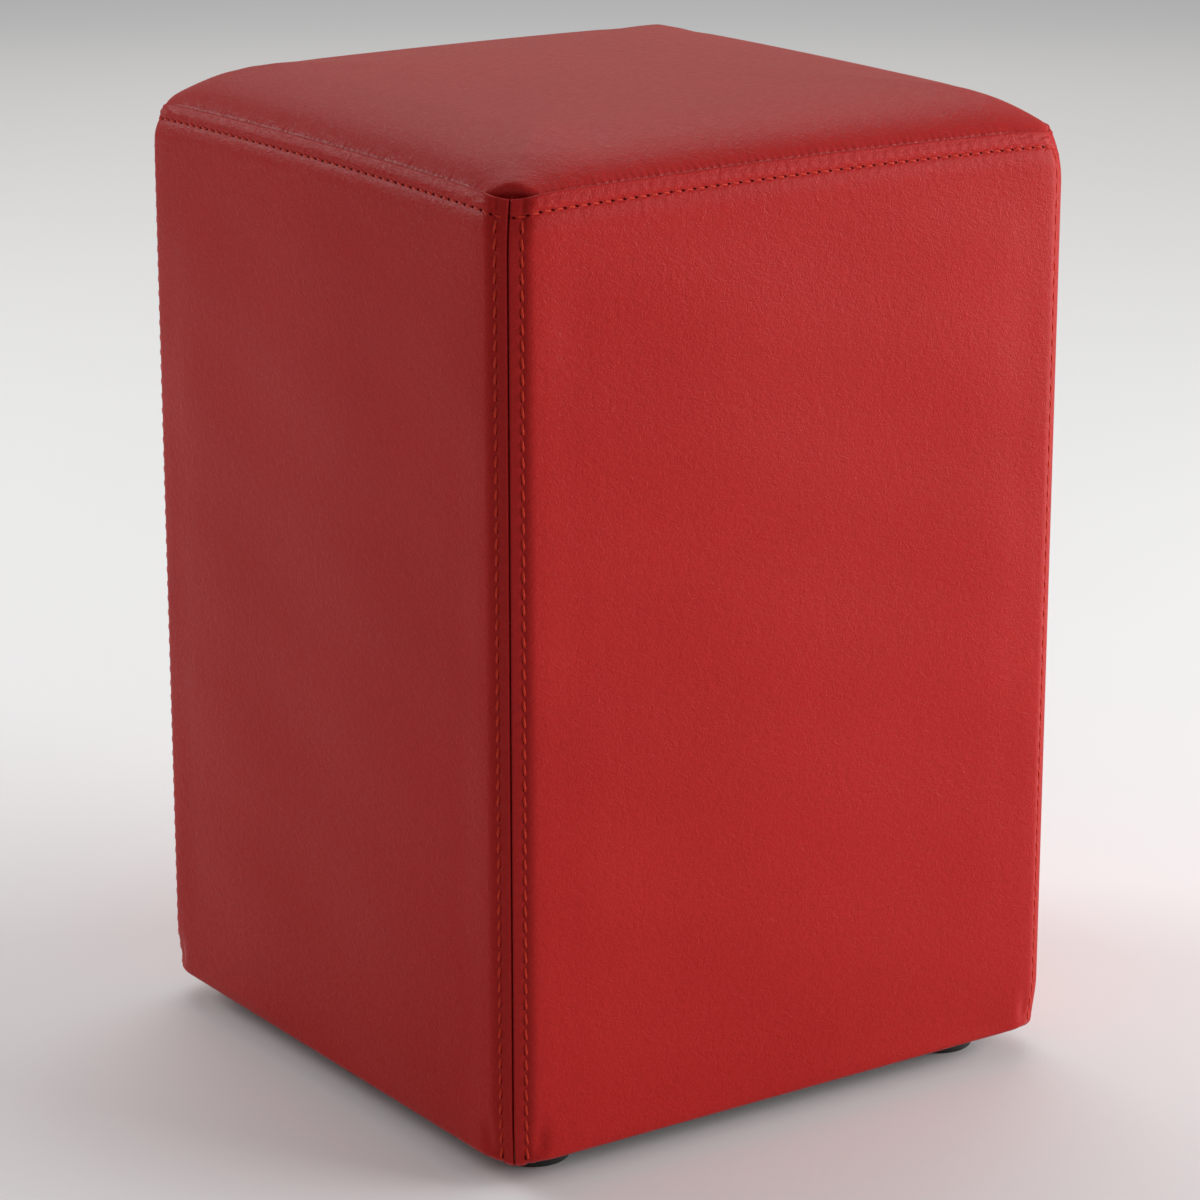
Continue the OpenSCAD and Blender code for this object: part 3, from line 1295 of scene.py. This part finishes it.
@dataclass
class StitchRow:
    """A row of topstitching along a sewn line, with flat dark lenses of painted shadow beside the
    thread.

    Attributes:
        pitch: Stitch length.
        radius: The thread's radius.
        gap: Bare length between two stitches.
        rise: Height of the thread's middle over the valley.
        dive: How far its ends go down.
        slant: How far its ends lie to either side of the row.
        shadow_length: Half the length of a lens of painted shadow, as a share of the pitch.
        shadow_width: Half the width of a lens of painted shadow.
        shadow_aside: How far a lens of painted shadow lies beside the row.
        shadow_ahead: How far a lens of painted shadow lies along the row, as a share of the pitch.
        rings: Rings of vertices along a stitch.
        sides: Vertices in a ring.
        shadow_rows: Rows of three vertices along a lens of painted shadow.
    """

    pitch: float
    radius: float = 0.66 * MM
    gap: float = 0.9 * MM
    rise: float = 0.30 * MM
    dive: float = 1.0 * MM
    slant: float = 0.38 * MM
    shadow_length: float = 0.36
    shadow_width: float = 0.72 * MM
    shadow_aside: float = 0.92 * MM
    shadow_ahead: float = 0.42
    rings: int = 9
    sides: int = 8
    shadow_rows: int = 7

    def geometry(self, line: Array, normals: Array, hand: int) -> list[Array]:
        """Works out the stitches on a line.

        Args:
            line: Points along the sewn line, of shape (count, 3).
            normals: The leather's normals there.
            hand: 1 or -1, for the side that the lenses of painted shadow are on.

        Returns:
            Thread vertices and quads, and vertices and quads of the lenses of painted shadow.
        """
        steps = np.linalg.norm(np.diff(line, axis=0), axis=1)
        along = np.concatenate([[0.0], np.cumsum(steps)])
        count = int(along[-1] / self.pitch)
        first = (along[-1] - count * self.pitch) / 2

        def at(s: Array) -> tuple[Array, Array, Array]:
            """Places on the line with the directions across and up."""
            place = np.stack([np.interp(s, along, line[:, k]) for k in range(3)], axis=-1)
            up = np.stack([np.interp(s, along, normals[:, k]) for k in range(3)], axis=-1)
            up /= np.linalg.norm(up, axis=1, keepdims=True)
            ahead = np.gradient(place, axis=0)
            ahead /= np.linalg.norm(ahead, axis=1, keepdims=True)
            return place, np.cross(up, ahead), up

        thread, shadow_lenses = [], []
        for k in range(count):
            begin = first + k * self.pitch
            thread.append(self._stitch(begin + self.gap / 2, begin + self.pitch - self.gap / 2,
                                       at, hand))
            shadow_lenses.append(self._shadow_lens(begin + self.shadow_ahead * self.pitch, at, hand))
        rings, sides = self.rings, self.sides
        tube = np.array([[r * sides + a, r * sides + (a + 1) % sides,
                          (r + 1) * sides + (a + 1) % sides, (r + 1) * sides + a]
                         for r in range(rings - 1) for a in range(sides)])
        strip, each = grid_faces(self.shadow_rows, 3), self.shadow_rows * 3
        return [np.concatenate(thread),
                np.concatenate([tube + k * rings * sides for k in range(count)]),
                np.concatenate(shadow_lenses), np.concatenate([strip + k * each for k in range(count)])]

    def _stitch(self, begin: float, end: float, at: Callable, hand: int) -> Array:
        """One stitch's rings: it dives at both ends and lies a little askew.

        Args:
            begin: Where it comes up.
            end: Where it goes down.
            at: Gives places and directions along the line.
            hand: 1 or -1, for the way it slants.

        Returns:
            The rings' vertices.
        """
        k = np.linspace(0, 1, self.rings)
        centre, across, up = at(begin + (end - begin) * k)
        arch = 1 - np.abs(2 * k - 1) ** 4
        centre = centre + up * (self.rise * arch - self.dive * (1 - arch))[:, None]
        centre = centre + across * (hand * self.slant * (2 * k - 1))[:, None]
        angle = np.arange(self.sides) / self.sides * TAU
        twist = k[:, None] * 2.5 * math.pi
        ply = self.radius * (1 + 0.10 * np.cos(2 * (angle[None, :] - twist)))
        ply = ply * (0.6 + 0.4 * np.sin(math.pi * np.clip(k, 0.08, 0.92)) ** 0.4)[:, None]
        ring = (centre[:, None] + across[:, None] * (ply * np.cos(angle))[..., None]
                + up[:, None] * (ply * np.sin(angle))[..., None])
        return ring.reshape(-1, 3)

    def _shadow_lens(self, middle: float, at: Callable, hand: int) -> Array:
        """One lens of painted shadow: a slim near-black sheet beside the thread, standing in for
        its shade.

        Args:
            middle: Where it is.
            at: Gives places and directions along the line.
            hand: 1 or -1, for the side that it is on.

        Returns:
            Rows of three vertices.
        """
        k = np.linspace(-1, 1, self.shadow_rows)
        place, across, up = at(middle + k * self.shadow_length * self.pitch)
        wide = self.shadow_width * np.sqrt(np.maximum(1 - k ** 2, 0.02))
        place = place + across * (hand * (self.shadow_aside + 0.5 * self.slant * k))[:, None]
        rows = [place + across * (wide * side)[:, None] + up * (0.16 - 0.03 * abs(side)) * MM
                for side in (-1, 0, 1)]
        return np.stack(rows, axis=1)[:, ::-1].reshape(-1, 3)

    def build(self, name: str, lines: list[tuple[Array, Array, int]],
              thread: Material, dark: Material) -> bpy.types.Object:
        """Makes rows of stitches as one piece.

        Args:
            name: The piece's name.
            lines: Points, normals and hand of each sewn line.
            thread: The thread's finish.
            dark: The finish of the painted shadow lenses.

        Returns:
            The piece, riding on the frame.
        """
        points, faces, counts = [], [], []
        total = 0
        for part in (0, 2):
            for line in lines:
                made = self.geometry(*line)
                points.append(made[part])
                faces.append(made[part + 1] + total)
                total += len(made[part])
            counts.append(sum(len(f) for f in faces))
        piece = make_mesh(name, np.concatenate(points), np.concatenate(faces))
        piece.data.materials.append(thread)
        piece.data.materials.append(dark)
        # material 1 marks the lenses of painted shadow beside the thread
        shadow_lenses = np.zeros(len(piece.data.polygons), np.int32)
        shadow_lenses[counts[0]:] = 1
        piece.data.polygons.foreach_set("material_index", shadow_lenses)
        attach(piece, "root")
        return piece


# ---- the whole cover


@dataclass
class Cover:
    """The sewn cover with all its thread.

    Attributes:
        body: The stool's sizes.
        sewing: How the cover is sewn.
    """

    body: Body
    sewing: Sewing = field(default_factory=Sewing)

    def __post_init__(self) -> None:
        """Builds the panels' surfaces."""
        self.sides = [SidePanel(self.body, self.sewing, side) for side in Side]
        self.seat = SeatPanel(self.body, self.sewing, self.sides[0])

    def build(self) -> None:
        """Makes the panels and the thread, and reports them."""
        side_leather = FauxLeather("side_leather", (0.75, 0.75, 1.0), shine=0.068).build()
        seat_leather = FauxLeather("seat_leather", (0.85, 0.85, 0.85)).build()
        # the second finish is painted shadow, for the dark lenses beside the thread
        thread, dark = Thread().build(), PaintedStitchShadow().build()
        for panel in self.sides:
            piece = panel.build(side_leather)
            log.info("%s: %d faces", piece.name, len(piece.data.polygons))
            self._stitch(panel, thread, dark)
        piece = self.seat.build(seat_leather)
        log.info("%s: %d faces", piece.name, len(piece.data.polygons))

    def _stitch(self, panel: SidePanel, thread: Material, dark: Material) -> None:
        """Sews one side: a row beside each upright seam and one below the top seam.

        Args:
            panel: The side.
            thread: The thread's finish.
            dark: The finish of the painted shadow beside the stitches.
        """
        rows = slice(panel.under_rows + 2, panel.top_row_index + 6)
        left, right = panel.row_columns
        name = panel.side.label
        upright = [(panel.points[rows, c], panel.normals[rows, c], hand)
                   for c, hand in ((left, 1), (right, -1))]
        StitchRow(self.sewing.corner_pitch).build(f"{name}_seam_topstitching", upright,
                                                  thread, dark)
        turned_in = 10
        columns = slice(turned_in, -turned_in)
        k = panel.top_row_index
        line = (panel.points[k, columns], panel.normals[k, columns], -1)
        row = StitchRow(self.sewing.top_pitch, radius=0.52 * MM, gap=1.5 * MM, rise=0.12 * MM,
                        shadow_length=0.14, shadow_width=0.6 * MM, shadow_aside=0.12 * MM,
                        shadow_ahead=0.0)
        piece = row.build(f"{name}_top_topstitching", [line], thread, dark)
        log.info("%s: %d faces", piece.name, len(piece.data.polygons))


# ---- padding


@dataclass
class Padding:
    """Foam on the sides and seat, and the fleece over the seat foam.

    Attributes:
        body: The stool's sizes.
        seat: The seat's leather, for its crown.
        skin: From the leather's face to the padding under it.
        fleece: The fleece's thickness.
        margin: From a foam sheet's edge to the corner.
        squeeze: How far in from its edges a foam sheet is squeezed thin.
    """

    body: Body
    seat: SeatPanel
    skin: float = 1.2 * MM
    fleece: float = 3.0 * MM
    margin: float = 16.0 * MM
    squeeze: float = 8.0 * MM

    def _finish(self, piece: bpy.types.Object, material: Material, node: str) -> None:
        """Args:
            piece: The pad.
            material: Its finish.
            node: The frame's node that it stands for.
        """
        dress(piece, material, node)
        log.info("%s: %d faces", piece.name, len(piece.data.polygons))

    def build(self) -> None:
        """Makes all the pads."""
        foam, fleece = Foam().build(), Fleece().build()
        points, faces = self.seat.closed_under(self.skin + self.fleece, self.body.seat_board, 4)
        self._finish(make_mesh("seat_foam_block", points, faces), foam, "seat_foam")
        points, faces = self.seat.closed_under(self.skin, -self.fleece * 0.9, 4)
        self._finish(make_mesh("seat_fleece_layer", points, faces), fleece, "seat_fleece")
        for side in Side:
            node = f"{side.label}_side_foam"
            points, faces = self._sheet(node, side)
            self._finish(make_mesh(f"{side.label}_foam_sheet", points, faces), foam, node)

    def _sheet(self, node: str, side: Side) -> tuple[Array, Array]:
        """A side's foam sheet, soft at its edges and a little uneven.

        Args:
            node: The frame's node, for the height.
            side: The side.

        Returns:
            Vertices and quads.
        """
        low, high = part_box(node)
        across = np.linspace(-1, 1, 61)
        up = np.linspace(0, 1, 85)
        half = self.body.half - self.margin
        t = across * half
        z = low.z + (high.z - low.z) * up
        gap_t = (1 - np.abs(across)) * half
        gap_z = np.minimum(z - low.z, high.z - z)
        soft = smooth(gap_t / self.squeeze)[None, :] * smooth(gap_z / self.squeeze)[:, None]
        thick = self.body.half - self.skin - 1.0 * MM - self.body.board_half
        x, height = np.meshgrid(t, z)
        uneven = 0.25 * MM * np.sin(x * 90 + side.value) * np.sin(height * 70)
        out = self.body.board_half + 0.1 * MM + thick * (0.35 + 0.65 * soft) + uneven * soft
        skin = np.stack([x, -out, height], axis=-1)
        back = np.stack([x, np.full_like(x, -self.body.board_half - 0.05 * MM), height], axis=-1)
        points, faces = closed_block(skin, back)
        return turned(points, side), faces


@dataclass
class DustCloth:
    """The thin black cloth stapled under the frame, with a folded hem.

    Attributes:
        thickness: The cloth's thickness.
        hem: Width of the folded edge.
        sag: How far its middle hangs.
        foot: How near a foot it is held flat.
        staple_pitch: Distance between two staples.
        staple_reach: How far in the staples pull it.
    """

    thickness: float = 0.35 * MM
    hem: float = 12.0 * MM
    sag: float = 1.6 * MM
    foot: float = 20.0 * MM
    staple_pitch: float = 39.0 * MM
    staple_reach: float = 20.0 * MM

    def build(self) -> None:
        """Makes the cloth, riding on the frame."""
        low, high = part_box("dust_cloth")
        half = high.x
        near = np.array([0.0, 0.5, 1.5, 6.0, 11.0, 12.0, 12.6, 14.0]) * MM
        lines = np.concatenate([-(half - near), np.linspace(-(half - 18 * MM), half - 18 * MM, 81),
                                (half - near)[::-1]])
        x, y = np.meshgrid(lines, lines)
        inward = half - np.maximum(np.abs(x), np.abs(y))
        hem = 1 - smooth((inward - self.hem) / (0.8 * MM))
        belly = np.clip((1 - (x / half) ** 2) * (1 - (y / half) ** 2), 0, 1)
        feet = 1.0
        for corner in ("front_left", "back_left", "front_right", "back_right"):
            one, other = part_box(f"{corner}_glide")
            far = np.hypot(x - (one.x + other.x) / 2, y - (one.y + other.y) / 2)
            feet = feet * smooth((far - self.foot) / self.foot)
        ripple = 0.35 * np.sin(x * 95 + 1) * np.sin(y * 78 + 2) + 0.2 * np.sin((x + y) * 150)
        sag = self.sag * belly ** 0.7 * (1 + ripple * 0.5) * feet
        staples = 0.12 * MM * np.cos(TAU * x / self.staple_pitch) * np.cos(
            TAU * y / self.staple_pitch) * (1 - smooth(inward / self.staple_reach))
        under = low.z + 0.02 * MM - sag + staples * 0.3 + (1 - hem) * 0.05 * MM
        over = np.minimum(under + self.thickness, high.z - 0.01 * MM)
        lower = np.stack([x, y, under], axis=-1)
        upper = np.stack([x, y, over], axis=-1)
        piece = make_mesh("dust_cloth_sheet", *closed_block(upper, lower))
        dress(piece, Spunbond().build(), "dust_cloth")
        log.info("%s: %d faces", piece.name, len(piece.data.polygons))


# ---- frame finishes


@dataclass
class Carcass:
    """Finishes for the frame's own wood, steel and plastic parts.

    Attributes:
        nodes: The frame's objects by name.
    """

    nodes: dict[str, bpy.types.Object]

    def build(self) -> None:
        """Gives every part that stays its finish."""
        birch = ((0.66, 0.49, 0.30), (0.50, 0.34, 0.19))
        sheet_x = Timber("plywood_side_x", Axis.Z, Axis.Y, *birch)
        sheet_y = Timber("plywood_side_y", Axis.Z, Axis.X, *birch)
        flat = Timber("plywood_seat", Axis.X, Axis.Z, *birch)
        finishes = {
            "front_board": sheet_x, "back_board": sheet_x,
            "left_board": sheet_y, "right_board": sheet_y, "seat_board": flat,
            "post": Timber("pine_upright", Axis.Z),
            "rail_x": Timber("pine_rail_x", Axis.X),
            "rail_y": Timber("pine_rail_y", Axis.Y),
            "screws": Steel("zinc_steel"),
            "staples": Steel("galvanised_wire", (0.55, 0.55, 0.56)),
            "glide": BlackPlastic(),
        }
        made = {}
        for name, piece in sorted(self.nodes.items()):
            if piece.hide_render:
                continue
            finish = finishes[self._kind(name, finishes)]
            if finish.name not in made:
                made[finish.name] = finish.build()
            piece.data.materials.clear()
            piece.data.materials.append(made[finish.name])
            log.info("%s: %s", name, finish.name)

    @staticmethod
    def _kind(name: str, finishes: dict[str, Finish]) -> str:
        """Which finish a part takes.

        Args:
            name: The part's name.
            finishes: The finishes by kind.

        Returns:
            The kind.
        """
        if name in finishes:
            return name
        last = name.rsplit("_", 1)[-1]
        if last == "rail":
            return "rail_x" if name.startswith(("front", "back")) else "rail_y"
        return last


# ---- studio


@dataclass
class Studio:
    """Pale floor, soft lights and the camera.

    Attributes:
        body: The stool's sizes.
        distance: From the stool's axis to the camera, level.
        azimuth: The camera's place round the stool, in degrees left of the front.
        height: The camera's height.
        pan: Where it looks, in degrees right of straight back.
        tilt: How far it looks down, in degrees.
        lens: Focal length in millimetres, on a 36 mm sensor.
    """

    body: Body
    distance: float = 2.012
    azimuth: float = 34.6
    height: float = 0.812
    pan: float = 34.6
    tilt: float = 16.25
    lens: float = 125.0

    def camera(self) -> None:
        """Makes the camera."""
        data = bpy.data.cameras.new("camera")
        data.lens, data.sensor_width = self.lens, 36.0
        eye = bpy.data.objects.new("camera", data)
        a = math.radians(self.azimuth)
        eye.location = (-self.distance * math.sin(a), -self.distance * math.cos(a), self.height)
        eye.rotation_euler = (math.radians(90 - self.tilt), 0, -math.radians(self.pan))
        bpy.context.scene.collection.objects.link(eye)
        bpy.context.scene.camera = eye

    def softbox(self, name: str, place: Triple, size: float, power: float,
                tint: Triple = (1, 1, 1)) -> None:
        """Makes an area light that faces the stool.

        Args:
            name: The light's name.
            place: Where it stands.
            size: Its side.
            power: Its power in watts.
            tint: Its colour.
        """
        data = bpy.data.lights.new(name, "AREA")
        data.shape, data.size = "SQUARE", size
        data.energy, data.color = power, tint
        lamp = bpy.data.objects.new(name, data)
        lamp.location = place
        aim = Vector((0, 0, self.body.seam * 0.55)) - lamp.location
        lamp.rotation_euler = aim.to_track_quat("-Z", "Y").to_euler()
        bpy.context.scene.collection.objects.link(lamp)

    def floor(self) -> None:
        """Makes the floor and the pale surroundings."""
        reach = 30.0
        floor = make_mesh("floor", np.array([[-reach, -reach, 0], [reach, -reach, 0],
                                             [reach, reach, 0], [-reach, reach, 0]]),
                          np.array([[0, 1, 2, 3]]))
        n = Nodes("pale_floor")
        speck = n.noise(n.place(), 3.0, 2.0)
        n.colours(speck, [(0.0, (0.875, 0.875, 0.875)), (1.0, (0.885, 0.885, 0.885))])
        n.shader.inputs["Roughness"].default_value = 0.7
        n.matt(0.2)
        floor.data.materials.append(n.material)
        world = bpy.data.worlds.new("studio")
        world.use_nodes = True
        sky = world.node_tree.nodes["Background"]
        sky.inputs["Color"].default_value = (1.0, 1.0, 1.0, 1.0)
        sky.inputs["Strength"].default_value = 0.24
        bpy.context.scene.world = world

    def build(self) -> None:
        """Sets the studio up."""
        self.camera()
        self.floor()
        self.softbox("key_softbox", (2.2, -1.15, 0.62), 1.4, 53.0)
        self.softbox("rim_softbox", (1.45, -2.1, 1.30), 1.1, 24.0)
        self.softbox("left_rim_softbox", (-1.45, 2.1, 1.45), 1.1, 30.0)
        self.softbox("top_softbox", (1.2, 1.9, 3.6), 3.5, 56.0)
        self.softbox("back_softbox", (1.7, 2.5, 1.35), 2.0, 2.0, (1.0, 0.80, 0.55))
        bpy.context.scene.view_settings.view_transform = "Standard"


# ---- all of it


def main() -> None:
    """Builds the stool and its studio."""
    logging.basicConfig(level=logging.INFO, format="%(name)s: %(message)s")
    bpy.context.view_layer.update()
    body = Body.read()
    Studio(body).build()
    cover = Cover(body)
    cover.build()
    Padding(body, cover.seat).build()
    DustCloth().build()
    Carcass(frame["nodes"]).build()


if __name__ == "__main__":
    main()
